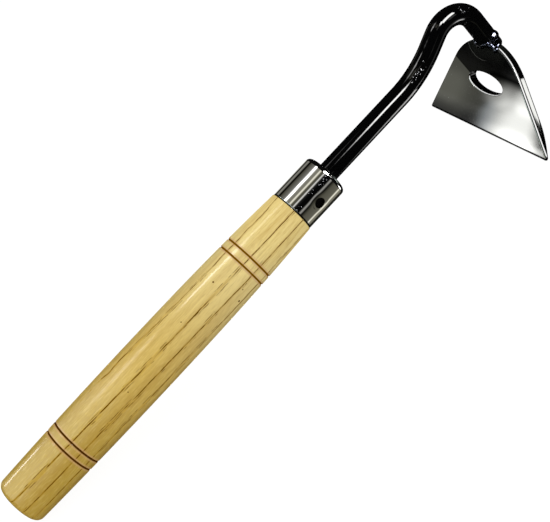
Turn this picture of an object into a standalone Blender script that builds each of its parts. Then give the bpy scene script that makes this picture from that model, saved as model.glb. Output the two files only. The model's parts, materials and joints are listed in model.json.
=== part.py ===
"""Hand hoe: a turned wooden grip, a drawn ferrule, a bent steel neck and a polished triangular blade.

The tool is laid out along its own handle axis, X from the middle of the butt end towards the
blade, with the neck's bends in the XZ plane. The whole is then tilted so that it stands on the
floor (z = 0) as it does when it is put down: on the butt of the grip and on the cutting edge.
Lengths are in metres and angles in radians.
"""

from math import asin, atan, cos, pi, radians, sin, sqrt, tan

import bmesh
import bpy
from mathutils import Vector

for old in list(bpy.data.objects):
    bpy.data.objects.remove(old, do_unlink=True)

# Grip: the turned wood that shows, from the butt end to the ferrule
handle_length = 0.2001
butt_radius = 0.01355
belly_radius = 0.0149
belly_from_butt = 0.0915
wood_end_radius = 0.0129
butt_rounding = 0.0037
wood_end_rounding = 0.0014
groove_width = 0.0011
groove_depth = 0.0005
groove_spacing = 0.0054
butt_grooves_from_end = 0.036
head_grooves_from_ferrule = 0.0347

# Ferrule: a drawn steel cap over the wood's tenon
ferrule_length = 0.0233
ferrule_radius = 0.0123
ferrule_wall = 0.001
ferrule_rim_radius = 0.0024

# Cross pin through ferrule, tenon and tang
pin_from_wood = 0.0088
pin_hole_radius = 0.00265
pin_recess = 0.0018
pin_chamfer = 0.0003

# Neck: one round bar, from the tang inside the grip to the blade
neck_radius = 0.0055
tang_length = 0.085
tang_chamfer = 0.0015
straight_run = 0.0538
rise_bend_radius = 0.0603
rise_bend_angle = radians(26.95)
rise_run = 0.0082
crook_radius = 0.01414
crook_angle = radians(111.8)
drop_run = 0.0136
neck_end_past_face = 0.0083
neck_end_chamfer = 0.0008

# Blade: a thick plate, flat on the inner face and ground to its edge on the back
blade_width = 0.0988
blade_side_angle = radians(32.4)
blade_apex_radius = 0.0305
blade_corner_radius = 0.001
blade_thickness = 0.0049
blade_edge_thickness = 0.0008
blade_edge_rounding = 0.0005
blade_grind_radius = 0.06
blade_to_handle_angle = radians(57.25)
neck_axis_above_blade = 0.0025
hole_length = 0.0272
hole_height = 0.011
hole_from_edge = 0.0283
hole_flare = 0.0006

# Weld bead that joins neck and blade
weld_radius = 0.0021

# Space left between two pieces that touch
clearance = 0.0003

# How finely round forms are faceted
handle_sides = 40
ferrule_sides = 40
neck_sides = 20
pin_sides = 16

# Places that follow from the sizes above
face_x = handle_length + ferrule_length
pin_x = handle_length + pin_from_wood
tang_end_x = face_x - tang_length
ferrule_bore = ferrule_radius - ferrule_wall
tang_bore = neck_radius + clearance
half_blade = blade_width / 2
apex_centre = (half_blade - blade_apex_radius / cos(blade_side_angle)) / tan(blade_side_angle)
blade_height = apex_centre + blade_apex_radius
edge_drop = blade_height + neck_axis_above_blade
grind_depth = blade_thickness - blade_edge_thickness
grind_height = sqrt(blade_grind_radius ** 2 - (blade_grind_radius - grind_depth) ** 2)
neck_end_heading = rise_bend_angle - crook_angle
blade_lean = pi / 2 - blade_to_handle_angle
neck_to_blade = pi - blade_to_handle_angle + neck_end_heading


def material(name, colour, roughness, metallic):
    """A Principled material with one colour."""
    made = bpy.data.materials.new(name)
    made.use_nodes = True
    shader = made.node_tree.nodes["Principled BSDF"]
    shader.inputs["Base Color"].default_value = (*colour, 1)
    shader.inputs["Roughness"].default_value = roughness
    shader.inputs["Metallic"].default_value = metallic
    return made


def piece(name, bm, look, parent):
    """Turn a bmesh into a named, smooth-shaded object under its parent."""
    bmesh.ops.recalc_face_normals(bm, faces=bm.faces)
    mesh = bpy.data.meshes.new(name)
    bm.to_mesh(mesh)
    bm.free()
    mesh.shade_smooth()
    mesh.set_sharp_from_angle(angle=radians(35))
    made = bpy.data.objects.new(name, mesh)
    bpy.context.collection.objects.link(made)
    made.parent = parent
    if look:
        mesh.materials.append(look)
    return made


def guide(name, bm, parent):
    """A cutter: it shapes other pieces and isn't a piece itself."""
    made = piece(name, bm, None, parent)
    made.hide_render = True
    made.display_type = "WIRE"
    return made


def cut(target, cutter, crosses_itself=False):
    """Take the cutter's space out of the target."""
    step = target.modifiers.new("Cut by " + cutter.name, "BOOLEAN")
    step.operation = "DIFFERENCE"
    step.solver = "EXACT"
    step.use_self = crosses_itself
    step.object = cutter


def empty(name, parent=None):
    """An axis system for other objects to hang from."""
    made = bpy.data.objects.new(name, None)
    bpy.context.collection.objects.link(made)
    made.parent = parent
    return made


def loft(bm, rings, ends="capped"):
    """Skin a run of equal rings, then cap the first and last, or join them."""
    rows = [[bm.verts.new(point) for point in ring] for ring in rings]
    pairs = list(zip(rows, rows[1:]))
    if ends == "joined":
        pairs.append((rows[-1], rows[0]))
    else:
        bm.faces.new(rows[0])
        bm.faces.new(rows[-1])
    for near, far in pairs:
        for k in range(len(near)):
            bm.faces.new((near[k - 1], near[k], far[k], far[k - 1]))


def circle(centre, across, up, radius, sides):
    """Points of a circle in the plane of two unit vectors."""
    turns = [2 * pi * k / sides for k in range(sides)]
    return [centre + radius * (cos(a) * up + sin(a) * across) for a in turns]


def turned(profile, sides, axis, ends="capped"):
    """Turn a profile of (place along the axis, radius) round X or Y."""
    along, across = (Vector((1, 0, 0)), Vector((0, 1, 0)))
    if axis == "Y":
        along, across = across, along
    up = Vector((0, 0, 1))
    bm = bmesh.new()
    loft(bm, [circle(along * place, across, up, r, sides) for place, r in profile], ends)
    return bm


def arc(centre_x, centre_r, radius, start, end, steps):
    """Points of an arc in a profile, from one angle to another."""
    turns = [start + (end - start) * k / steps for k in range(steps + 1)]
    return [(centre_x + radius * cos(a), centre_r + radius * sin(a)) for a in turns]


def barrel_radius(x):
    """The grip's outline: widest at its belly, with a smooth fall to each end."""
    if x < belly_from_butt:
        share = (belly_from_butt - x) / belly_from_butt
        return belly_radius - (belly_radius - butt_radius) * share ** 2
    share = (x - belly_from_butt) / (handle_length - belly_from_butt)
    return belly_radius - (belly_radius - wood_end_radius) * share ** 2


def groove(middle):
    """A shallow turned groove with sloping walls."""
    half = groove_width / 2
    floor = barrel_radius(middle) - groove_depth
    return [
        (middle - half, barrel_radius(middle - half)),
        (middle - half / 3, floor),
        (middle + half / 3, floor),
        (middle + half, barrel_radius(middle + half)),
    ]


groove_places = [
    butt_grooves_from_end,
    butt_grooves_from_end + groove_spacing,
    handle_length - head_grooves_from_ferrule - groove_spacing,
    handle_length - head_grooves_from_ferrule,
]


def grip_outline():
    """The wood's outer profile, from the butt's flat to the shoulder at the ferrule."""
    start = barrel_radius(butt_rounding)
    points = arc(butt_rounding, start - butt_rounding, butt_rounding, pi, pi / 2, 8)
    stops = [butt_rounding, *groove_places, handle_length - wood_end_rounding]
    for number, (low, high) in enumerate(zip(stops, stops[1:])):
        if number:
            points += groove(low)
        steps = max(1, round((high - low) / 0.016))
        for k in range(1, steps):
            x = low + (high - low) * k / steps
            points.append((x, barrel_radius(x)))
    end = handle_length - wood_end_rounding
    points += arc(end, barrel_radius(end) - wood_end_rounding, wood_end_rounding, pi / 2, 0, 4)
    return points


def handle(look, parent):
    """Turned grip with a stepped tenon for the ferrule and a blind bore for the tang."""
    tenon = ferrule_bore - clearance
    tenon_end = face_x - ferrule_wall - clearance
    rounding = ferrule_rim_radius - ferrule_wall - clearance
    profile = grip_outline()
    profile.append((handle_length, tenon))
    profile += arc(tenon_end - rounding, tenon - rounding, rounding, pi / 2, 0, 3)
    profile.append((tenon_end, tang_bore))
    profile.append((tang_end_x - clearance, tang_bore))
    return piece("handle", turned(profile, handle_sides, "X"), look, parent)


def ferrule(look, parent):
    """Drawn cap: a thin wall, a rounded rim and a closed end with a hole for the neck."""
    mouth = handle_length + clearance
    rim = face_x - ferrule_rim_radius
    corner = ferrule_radius - ferrule_rim_radius
    profile = [(mouth, ferrule_radius)]
    profile += arc(rim, corner, ferrule_rim_radius, pi / 2, 0, 5)
    profile.append((face_x, tang_bore))
    profile.append((face_x - ferrule_wall, tang_bore))
    profile += arc(rim, corner, ferrule_rim_radius - ferrule_wall, 0, pi / 2, 3)
    profile.append((mouth, ferrule_bore))
    return piece("ferrule", turned(profile, ferrule_sides, "X", "joined"), look, parent)


def cross_pin(look, parent):
    """Plain pin through ferrule, tenon and tang, sunk below the ferrule at both ends."""
    half = ferrule_radius - pin_recess
    radius = pin_hole_radius - clearance
    profile = [
        (-half, radius - pin_chamfer),
        (pin_chamfer - half, radius),
        (half - pin_chamfer, radius),
        (half, radius - pin_chamfer),
    ]
    made = piece("cross_pin", turned(profile, pin_sides, "Y"), look, parent)
    made.location.x = pin_x
    return made


def pin_hole(parent):
    """Cutter for the hole that the pin sits in."""
    reach = 2 * ferrule_radius
    profile = [(-reach, pin_hole_radius), (reach, pin_hole_radius)]
    made = guide("pin_hole", turned(profile, pin_sides, "Y"), parent)
    made.location.x = pin_x
    return made


def neck_stations():
    """Centre (x, z) and heading along the bar, from the tang's end to the blade's inner face."""
    x, z, heading = tang_end_x, 0.0, 0.0
    stations = [(x, z, heading)]
    legs = (
        (tang_length + straight_run, 0, 0, 3),
        (0, rise_bend_radius, rise_bend_angle, 7),
        (rise_run, 0, 0, 1),
        (0, crook_radius, -crook_angle, 14),
        (drop_run, 0, 0, 2),
    )
    for length, radius, angle, steps in legs:
        for _ in range(steps):
            half_turn = angle / steps / 2
            chord = length / steps + 2 * radius * abs(sin(half_turn))
            heading += half_turn
            x += chord * cos(heading)
            z += chord * sin(heading)
            heading += half_turn
            stations.append((x, z, heading))
    return stations


neck_landing = neck_stations()[-1]


def bar(grow, end_chamfer):
    """The round bar, grown all over by a margin, as far as its square end past the blade's face."""
    stations = [(x, z, a, neck_radius + grow) for x, z, a in neck_stations()]
    x, z, a, r = stations[0]
    stations[0] = (x - grow, z, a, r - tang_chamfer)
    stations.insert(1, (x + tang_chamfer, z, a, r))
    x, z, a, r = stations[-1]
    for ahead, less in ((-end_chamfer, 0), (0, end_chamfer)):
        run = neck_end_past_face + grow + ahead
        stations.append((x + run * cos(a), z + run * sin(a), a, r - less))
    across = Vector((0, 1, 0))
    rings = []
    for x, z, a, r in stations:
        up = Vector((-sin(a), 0, cos(a)))
        rings.append(circle(Vector((x, 0, z)), across, up, r, neck_sides))
    bm = bmesh.new()
    loft(bm, rings)
    return bm


def blade_outline(grow):
    """The plate's outline (y, z) round from the right corner, grown or drawn in by a margin."""
    edge_z = -edge_drop
    radius = blade_corner_radius + grow
    inset = blade_corner_radius / tan((pi / 2 - blade_side_angle) / 2)
    corner = arc(half_blade - inset, edge_z + blade_corner_radius, radius, -pi / 2, blade_side_angle, 3)
    crown = arc(0, edge_z + apex_centre, blade_apex_radius + grow,
                blade_side_angle, pi - blade_side_angle, 24)
    return corner + crown + [(-y, z) for y, z in reversed(corner)]


def plate(layers):
    """Stack outlines, each with its depth and its growth, into one solid."""
    bm = bmesh.new()
    loft(bm, [[Vector((x, y, z)) for y, z in blade_outline(grow)] for x, grow in layers])
    return bm


def oval(grow):
    """The hole's outline (y, z), grown by a margin."""
    turns = [2 * pi * k / 36 for k in range(36)]
    middle = hole_from_edge - edge_drop
    return [((hole_length / 2 + grow) * cos(a), middle + (hole_height / 2 + grow) * sin(a)) for a in turns]


def hole_cutter(parent):
    """Cutter for the oval hole, flared where it meets the inner face and the back."""
    far = blade_thickness
    layers = ((-hole_flare, 2 * hole_flare), (hole_flare, 0),
              (far - hole_flare, 0), (far + hole_flare, 2 * hole_flare))
    bm = bmesh.new()
    loft(bm, [[Vector((x, y, z)) for y, z in oval(grow)] for x, grow in layers])
    return guide("blade_hole", bm, parent)


def grind_cutter(parent):
    """Cutter for the hollow space behind the edge that grinding leaves: a convex curve."""
    top = grind_height - edge_drop
    spare = blade_thickness
    sweep = asin(grind_height / blade_grind_radius)
    turns = [sweep * k / 9 for k in range(10)]
    centre_x = blade_thickness - blade_grind_radius
    profile = [(centre_x + blade_grind_radius * cos(a), top - blade_grind_radius * sin(a)) for a in turns]
    edge_x, edge_z = profile[-1]
    profile += [(edge_x - spare * sin(sweep), edge_z - spare * cos(sweep)),
                (blade_thickness + spare, edge_z - spare), (blade_thickness + spare, top)]
    bm = bmesh.new()
    loft(bm, [[Vector((x, side * blade_width, z)) for x, z in profile] for side in (-1, 1)])
    return guide("blade_grind", bm, parent)


def blade(look, parent):
    """Thick plate with rounded rims, an oval hole and a ground back."""
    soft = blade_edge_rounding
    far = blade_thickness
    layers = ((0, -soft), (soft * 0.3, -soft * 0.3), (soft, 0),
              (far - soft, 0), (far - soft * 0.3, -soft * 0.3), (far, -soft))
    made = piece("blade", plate(layers), look, parent)
    cut(made, grind_cutter(parent))
    cut(made, hole_cutter(parent))
    return made


def bar_half_width(x, z):
    """Half the bar's width at a place in the blade's own axes."""
    off_axis = x * cos(neck_to_blade) + z * sin(neck_to_blade)
    return sqrt(max(0.0, neck_radius ** 2 - off_axis ** 2))


def weld_path():
    """The seam round the bar: inner face, over the plate's top on each side, and the back."""
    top = -neck_axis_above_blade
    reach = neck_radius / sin(neck_to_blade)
    far = blade_thickness
    end = (far * sin(neck_to_blade) - neck_end_past_face) / cos(neck_to_blade)
    side = [(0, -reach * 0.92, 1), (0, -reach * 0.7, 1), (0, top - weld_radius * 0.6, 1), (far / 2, top, 1),
            (far, top - weld_radius * 0.6, 1), (far, (top + end) / 2 - weld_radius * 0.6, 1), (far, end, 0.7)]
    right = [Vector((x, share * bar_half_width(x, z), z)) for x, z, share in side]
    left = [Vector((p.x, -p.y, p.z)) for p in reversed(right)]
    return [Vector((0, 0, -reach))] + right + [Vector((far, 0, end - weld_radius / 3))] + left


def weld_bead(look, parent, cutters):
    """Bead of weld metal laid along the seam, with the plate and the bar taken out of it."""
    curve = bpy.data.curves.new("weld_seam", "CURVE")
    curve.dimensions = "3D"
    curve.bevel_depth = weld_radius
    curve.bevel_resolution = 2
    curve.resolution_u = 5
    spline = curve.splines.new("BEZIER")
    path = weld_path()
    spline.bezier_points.add(len(path) - 1)
    for knot, place in zip(spline.bezier_points, path):
        knot.co = place
        knot.handle_left_type = "AUTO"
        knot.handle_right_type = "AUTO"
    spline.use_cyclic_u = True
    seam = bpy.data.objects.new("weld_seam", curve)
    bpy.context.collection.objects.link(seam)
    bpy.context.view_layer.update()
    bm = bmesh.new()
    bm.from_mesh(bpy.data.meshes.new_from_object(seam))
    bpy.data.objects.remove(seam)
    made = piece("weld_bead", bm, look, parent)
    for cutter in cutters:
        cut(made, cutter, crosses_itself=True)
    return made


def rest_tilt():
    """How far the handle axis rises when butt and cutting edge both stand on the floor."""
    land_x, land_z, _ = neck_landing
    edge = Vector((blade_edge_thickness, 0, -edge_drop))
    edge_x = land_x + edge.x * cos(blade_lean) + edge.z * sin(blade_lean)
    edge_z = land_z - edge.x * sin(blade_lean) + edge.z * cos(blade_lean)
    return atan(min((-r - edge_z) / (edge_x - x) for x, r in grip_outline()))


def stand_on_floor(root, pieces):
    """Move the whole so that its box stands on z = 0 with its middle at x = 0."""
    bpy.context.view_layer.update()
    graph = bpy.context.evaluated_depsgraph_get()
    corners = []
    for made in pieces:
        shown = made.evaluated_get(graph)
        corners += [shown.matrix_world @ v.co for v in shown.to_mesh().vertices]
        shown.to_mesh_clear()
    low_x = min(p.x for p in corners)
    high_x = max(p.x for p in corners)
    root.location = (-(low_x + high_x) / 2, 0, -min(p.z for p in corners))
    return high_x - low_x


honey_wood = material("honey_wood", (0.78, 0.60, 0.33), 0.25, 0.0)
bright_plate = material("bright_plate", (0.80, 0.80, 0.80), 0.12, 1.0)
black_gloss = material("black_gloss", (0.012, 0.012, 0.013), 0.12, 0.0)
polished_steel = material("polished_steel", (0.62, 0.63, 0.61), 0.15, 1.0)
weld_metal = material("weld_metal", (0.05, 0.05, 0.055), 0.3, 1.0)
dark_pin = material("dark_pin", (0.02, 0.02, 0.02), 0.5, 0.6)

tool = empty("tool")
tool.rotation_euler.y = -rest_tilt()
blade_seat = empty("blade_seat", tool)
blade_seat.location = (neck_landing[0], 0, neck_landing[1])
blade_seat.rotation_euler.y = blade_lean

grip = handle(honey_wood, tool)
cap = ferrule(bright_plate, tool)
pin = cross_pin(dark_pin, tool)
neck = piece("neck", bar(0, neck_end_chamfer), black_gloss, tool)
head = blade(polished_steel, blade_seat)

hole_for_pin = pin_hole(tool)
for crossed in (grip, cap, neck):
    cut(crossed, hole_for_pin)

slot_layers = ((-clearance, clearance), (blade_thickness + clearance, clearance))
blade_slot = guide("blade_slot", plate(slot_layers), blade_seat)
cut(neck, blade_slot)
bar_space = guide("bar_space", bar(clearance, neck_end_chamfer), tool)
bead = weld_bead(weld_metal, blade_seat, (blade_slot, bar_space))

overall = stand_on_floor(tool, (grip, cap, pin, neck, head, bead))
print("Overall length on the floor: %.1f mm" % (overall * 1000))
print("Handle axis rises by %.2f degrees" % (-tool.rotation_euler.y * 180 / pi))
print("Blade height %.1f mm, ground back %.1f mm high" % (blade_height * 1000, grind_height * 1000))
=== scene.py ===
# %% [markdown]
# # A hand hoe
#
# The tool is a turned wooden grip, a bright drawn ferrule held by a cross pin, a bent black neck
# and a thick polished blade that is welded to the neck's end. The imported solid model is the frame:
# it says where everything is, and each piece below is a finer mesh that takes one solid's place.
# That keeps the looks honest, because a piece can't drift from its real size.

# %% Load the frame
import json
from math import asin, cos, degrees, pi, radians, sin, sqrt, tan

import bmesh
import bpy
from mathutils import Matrix, Vector, noise


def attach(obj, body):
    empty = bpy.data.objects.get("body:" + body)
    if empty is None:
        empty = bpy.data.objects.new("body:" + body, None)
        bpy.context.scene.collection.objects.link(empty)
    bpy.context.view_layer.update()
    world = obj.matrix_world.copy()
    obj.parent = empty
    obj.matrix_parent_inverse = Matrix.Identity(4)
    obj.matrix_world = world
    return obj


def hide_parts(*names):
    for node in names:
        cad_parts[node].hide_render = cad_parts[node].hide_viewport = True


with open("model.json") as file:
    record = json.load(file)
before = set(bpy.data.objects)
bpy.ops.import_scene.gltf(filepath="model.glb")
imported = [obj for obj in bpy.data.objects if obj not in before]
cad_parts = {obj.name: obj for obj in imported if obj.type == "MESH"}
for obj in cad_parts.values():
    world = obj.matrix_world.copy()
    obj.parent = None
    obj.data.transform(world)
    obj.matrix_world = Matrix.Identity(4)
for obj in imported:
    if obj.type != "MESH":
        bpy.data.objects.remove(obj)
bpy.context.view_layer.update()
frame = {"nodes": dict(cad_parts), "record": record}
scene = bpy.context.scene
print("frame pieces:", ", ".join(sorted(frame["nodes"])))

# %% [markdown]
# ## The tool's own axes
#
# The hoe stands on its butt and on its cutting edge, so the grip leans a little. Each piece is
# modelled along X, from the middle of the butt, and its object carries the lean. The record's one
# mount, the flat of the butt, gives the place and the direction. Object coordinates then run along
# the grip, as the wood grain needs.

# %% Read the tool's axes from the record
butt = next(mount for mount in frame["record"]["mounts"] if mount["name"] == "butt_end")
along = -Vector(butt["axis"]).normalized()
forward, across = Vector((1, 0, 0)), Vector((0, 1, 0))
upward = along.cross(across)
tool = Matrix.Translation(butt["pos_m"]) @ Matrix((along, across, upward)).transposed().to_4x4()
into_tool = tool.inverted()
print("grip leans by", round(degrees(asin(along.z)), 2), "degrees")


def measured(node):
    """Lowest and highest corner of a frame piece in the tool's own axes."""
    places = [into_tool @ v.co for v in frame["nodes"][node].data.vertices]
    return [Vector([end(p[k] for p in places) for k in range(3)]) for end in (min, max)]


# %% [markdown]
# ## Sizes
#
# What the frame can tell is measured from it. The other sizes, such as the bends of the neck, are
# those that the solids were made with, in metres and radians.

# %% Sizes measured from the frame
gap = 0.0003
ferrule_sleeve = 0.0028
ferrule_low, ferrule_high = measured("ferrule")
grip_length = ferrule_low.x - gap - ferrule_sleeve
face_x = ferrule_high.x
ferrule_radius = ferrule_high.y
belly_radius = measured("handle")[1].y
neck_radius = measured("neck")[1].y
pin_low, pin_high = measured("cross_pin")
pin_x = (pin_low.x + pin_high.x) / 2
pin_radius = (pin_high.x - pin_low.x) / 2
print("grip %.1f mm, ferrule radius %.2f mm, bar radius %.2f mm, pin at %.1f mm" % (
    grip_length * 1000, ferrule_radius * 1000, neck_radius * 1000, pin_x * 1000))

# %% [markdown]
# ## Mesh helpers
#
# Rings of points are skinned into a tube or a turned piece, and arcs round the corners of a
# profile. That matters on shiny metal, where a real edge always shows a thin line of light.

# %% Helpers for meshes
def loft(rings, closed=False):
    """Skin a run of equal rings, with its ends capped or joined to each other."""
    bm = bmesh.new()
    rows = [[bm.verts.new(point) for point in ring] for ring in rings]
    pairs = list(zip(rows, rows[1:]))
    if closed:
        pairs.append((rows[-1], rows[0]))
    else:
        bm.faces.new(rows[0])
        bm.faces.new(rows[-1])
    for near, far in pairs:
        for k in range(len(near)):
            bm.faces.new((near[k - 1], near[k], far[k], far[k - 1]))
    return bm


def circle(centre, side, up, radius, count):
    """Points of a circle in the plane of two unit vectors."""
    turns = [2 * pi * k / count for k in range(count)]
    return [centre + radius * (cos(a) * up + sin(a) * side) for a in turns]


def arc(middle_x, middle_r, radius, start, end, steps):
    """Points of an arc from one angle to another."""
    turns = [start + (end - start) * k / steps for k in range(steps + 1)]
    return [(middle_x + radius * cos(a), middle_r + radius * sin(a)) for a in turns]


def turned(profile, count, axis=forward, side=across, closed=False):
    """Turn a profile of (place along the axis, radius) into a bmesh."""
    up = axis.cross(side)
    return loft([circle(axis * place, side, up, r, count) for place, r in profile], closed)


def tuned(made, **settings):
    """Set some properties of a thing and return it."""
    for name, value in settings.items():
        setattr(made, name, value)
    return made


def linked(name, data):
    """Stand something in the scene as an object."""
    made = bpy.data.objects.new(name, data)
    scene.collection.objects.link(made)
    return made


def as_object(name, bm, place=tool):
    """Turn a bmesh into a smooth object that stands in the tool's axes."""
    bmesh.ops.recalc_face_normals(bm, faces=bm.faces)
    mesh = bpy.data.meshes.new(name)
    bm.to_mesh(mesh)
    bm.free()
    mesh.shade_smooth()
    mesh.set_sharp_from_angle(angle=radians(40))
    return tuned(linked(name, mesh), matrix_world=place)


def at_pin(name, profile, count):
    """A turned piece that lies right across the tool, at the pin's place."""
    bm = turned(profile, count, across, forward)
    bmesh.ops.translate(bm, verts=bm.verts, vec=(pin_x, 0, 0))
    return as_object(name, bm)


def apply_modifiers(thing):
    """Bake an object's modifiers into its mesh."""
    bpy.context.view_layer.update()
    shown = thing.evaluated_get(bpy.context.evaluated_depsgraph_get())
    final = bpy.data.meshes.new_from_object(shown)
    thing.modifiers.clear()
    thing.data = final


def carve(target, *cutters, sharp=40):
    """Take the cutters' space out of the target, and delete them."""
    for cutter in cutters:
        cut = target.modifiers.new("Cut", "BOOLEAN")
        tuned(cut, operation="DIFFERENCE", solver="EXACT", object=cutter)
    apply_modifiers(target)
    target.data.set_sharp_from_angle(angle=radians(sharp))
    for cutter in cutters:
        bpy.data.objects.remove(cutter, do_unlink=True)


def seat(made, node, material, recipe):
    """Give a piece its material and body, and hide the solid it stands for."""
    made.data.materials.clear()
    made.data.materials.append(new_material(material, recipe))
    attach(made, "root")
    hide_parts(node)
    print("%s: %d faces" % (made.name, len(made.data.polygons)))


# %% [markdown]
# ## Node helpers
#
# Materials here are worked out from the place on the piece, so they need no pictures. A `Wire` is
# what comes out of a node. It can be added and multiplied like a number, so a material reads as a
# short recipe, from the place to the shader's inputs.

# %% Wires
class Wire:
    """A node's output. Sums on it become Math nodes in its own tree."""

    def __init__(self, socket):
        self.socket, self.tree = socket, socket.id_data

    __add__ = lambda self, other: calc("ADD", self, other)
    __sub__ = lambda self, other: calc("SUBTRACT", self, other)
    __rsub__ = lambda self, other: calc("SUBTRACT", other, self)
    __mul__ = __rmul__ = lambda self, other: calc("MULTIPLY", self, other)
    __truediv__ = lambda self, other: calc("DIVIDE", self, other)
    __abs__ = lambda self: calc("ABSOLUTE", self)


# %% Helpers for shader nodes
def feed(socket, value):
    """Link a socket to another node's output, or set its value."""
    if isinstance(value, Wire):
        value.tree.links.new(value.socket, socket)
    elif socket.type == "RGBA" and len(value) == 3:
        socket.default_value = (*value, 1)
    else:
        socket.default_value = value


def add(tree, kind, inputs=None, **settings):
    """Add one shader node, with its settings and its inputs."""
    made = tuned(tree.nodes.new("ShaderNode" + kind), **settings)
    for socket, value in (inputs or {}).items():
        feed(made.inputs[socket], value)
    return made


def out(tree, kind, inputs=None, output=0, **settings):
    """Add one node and return one of its outputs."""
    return Wire(add(tree, kind, inputs, **settings).outputs[output])


def calc(operation, *values):
    """One sum on numbers, at least one of them a wire."""
    tree = next(value.tree for value in values if isinstance(value, Wire))
    return out(tree, "Math", dict(enumerate(values)), operation=operation)


def most(first, *others):
    """The largest of several values."""
    for other in others:
        first = calc("MAXIMUM", first, other)
    return first


def step(value, low, high):
    """Rise smoothly from 0 to 1 between two values; fall if low is above high."""
    inputs = {"Value": value, "From Min": low, "From Max": high}
    return out(value.tree, "MapRange", inputs, interpolation_type="SMOOTHSTEP")


def between(value, start, full, fade, end):
    """Rise from start to full, stay at 1, and fall from fade to end."""
    return step(value, start, full) * step(value, end, fade)


def layered(base, *layers):
    """Lay colours over a base in turn, each with the share that it covers."""
    for share, colour in layers:
        inputs = {0: share, 6: base, 7: colour}
        base = out(share.tree, "Mix", inputs, 2, data_type="RGBA")
    return base


def split(vector):
    """The three numbers of a vector."""
    return [Wire(part) for part in add(vector.tree, "SeparateXYZ", {0: vector}).outputs]


def join(*numbers):
    """A vector of two or three wires."""
    return out(numbers[0].tree, "CombineXYZ", dict(enumerate(numbers)))


def vector_calc(operation, *values, output="Value"):
    """One sum on vectors, the first of them a wire. Most give a number."""
    inputs = dict(enumerate(values))
    return out(values[0].tree, "VectorMath", inputs, output, operation=operation)


def stretched(place, x, y, z):
    """A place with each of its numbers multiplied by its own factor."""
    return vector_calc("MULTIPLY", place, (x, y, z), output="Vector")


def soft_noise(place, scale, detail, roughness):
    """Smooth noise: about 0.5 on average."""
    inputs = {"Vector": place, "Scale": scale, "Detail": detail, "Roughness": roughness}
    return out(place.tree, "TexNoise", inputs)


def bump(height, strength, distance):
    """A normal that follows a height."""
    inputs = {"Height": height, "Strength": strength, "Distance": distance}
    return out(height.tree, "Bump", inputs)


def group_of(name, *numbers):
    """A node group: its tree, what goes in, and where the result goes."""
    tree = bpy.data.node_groups.new(name, "ShaderNodeTree")
    labels = [("Vector", "INPUT", "Vector"), *((label, "INPUT", "Float") for label in numbers)]
    for label, way, kind in labels + [("Value", "OUTPUT", "Float")]:
        tree.interface.new_socket(label, in_out=way, socket_type="NodeSocket" + kind)
    ins = [Wire(socket) for socket in tree.nodes.new("NodeGroupInput").outputs[:len(labels)]]
    return tree, ins, tree.nodes.new("NodeGroupOutput").inputs[0]


def use(group, place, **numbers):
    """Place a node group and return its result."""
    return out(place.tree, "Group", {"Vector": place, **numbers}, node_tree=group)


def new_material(name, recipe):
    """A material whose shader gets what the recipe makes of the place, in metres."""
    made = bpy.data.materials.new(name)
    made.use_nodes = True
    tree = made.node_tree
    tree.nodes.clear()
    place = out(tree, "TexCoord", output="Object")
    shader = out(tree, "BsdfPrincipled", recipe(place))
    add(tree, "OutputMaterial", {"Surface": shader})
    return made


# %% [markdown]
# ## Effects that several materials share
#
# - Streaks: noise that is stretched along one axis. In the wood it is fine grain, on the ferrule
#   the drawing lines and on the blade the grinding lines.
# - Specks: small dots, each somewhere in its own cell. They are pores in the wood, pits in the
#   plating, and nibs of dust and spatter on the black enamel, coloured pale there as painted glints.
# - Ripple: the slow waviness that any brushed or sprayed film dries with.
#
# Each is a group with its own inputs, so that it serves at several scales.

# %% Streaks
streaks, (spot, lengthwise, crosswise), result = group_of("streaks", "Along", "Across")
drawn = vector_calc("MULTIPLY", spot, join(lengthwise, crosswise, crosswise), output="Vector")
feed(result, soft_noise(drawn, 1.0, 3.0, 0.6) - 0.5)

# %% Specks
specks, (spot, number, size, share), result = group_of("specks", "Cells", "Size", "Share")
cells = add(specks, "TexVoronoi", {"Vector": spot, "Scale": number})
chance = out(specks, "SeparateColor", {0: Wire(cells.outputs["Color"])})
dots = step(Wire(cells.outputs["Distance"]), size, size * 0.5)
feed(result, calc("LESS_THAN", chance, share) * dots)

# %% Ripple
ripple, (spot, number), result = group_of("ripple", "Scale")
feed(result, soft_noise(spot, number, 1.5, 0.4))
print("shared groups:", ", ".join(g.name for g in bpy.data.node_groups))

# %% [markdown]
# ## The grip
#
# The grip is a long turned barrel, widest a little before its middle, rounded at the butt and
# stepped down at the head to go into the ferrule. Two pairs of fine grooves are burnt in. A film of
# lacquer is never quite even, which breaks the long highlight, so the radius gets waves of a few
# thousandths of a millimetre.

# %% Grip sizes
butt_radius = 0.01355
wood_end_radius = 0.01255
belly_from_butt = 0.0915
butt_rounding = 0.0037
wood_end_rounding = 0.0006
wood_end = grip_length - wood_end_rounding
groove_width = 0.0011
groove_depth = 0.0005
groove_places = [0.036, 0.0414, grip_length - 0.0373, grip_length - 0.0319]
ferrule_wall = 0.001
rim_radius = 0.0024
tang_length = 0.085
grip_sides = 144
grip_step = 0.0012
lacquer_wave = 0.000006
hole_radius = pin_radius + 0.0005


# %% Grip mesh
def barrel_radius(x):
    """The grip's outline: widest at its belly, with a fall to each end."""
    if x < belly_from_butt:
        share = (belly_from_butt - x) / belly_from_butt
        return belly_radius - (belly_radius - butt_radius) * share ** 2
    share = (x - belly_from_butt) / (grip_length - belly_from_butt)
    return belly_radius - (belly_radius - wood_end_radius) * share ** 2.6


def grooved_radius(x):
    """The outline with its grooves, each a dip with soft lips."""
    radius = barrel_radius(x)
    for middle in groove_places:
        reach = abs(x - middle) / (groove_width / 2)
        if reach < 1:
            radius -= groove_depth * (0.5 + 0.5 * cos(pi * reach)) ** 0.7
    return radius


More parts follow.
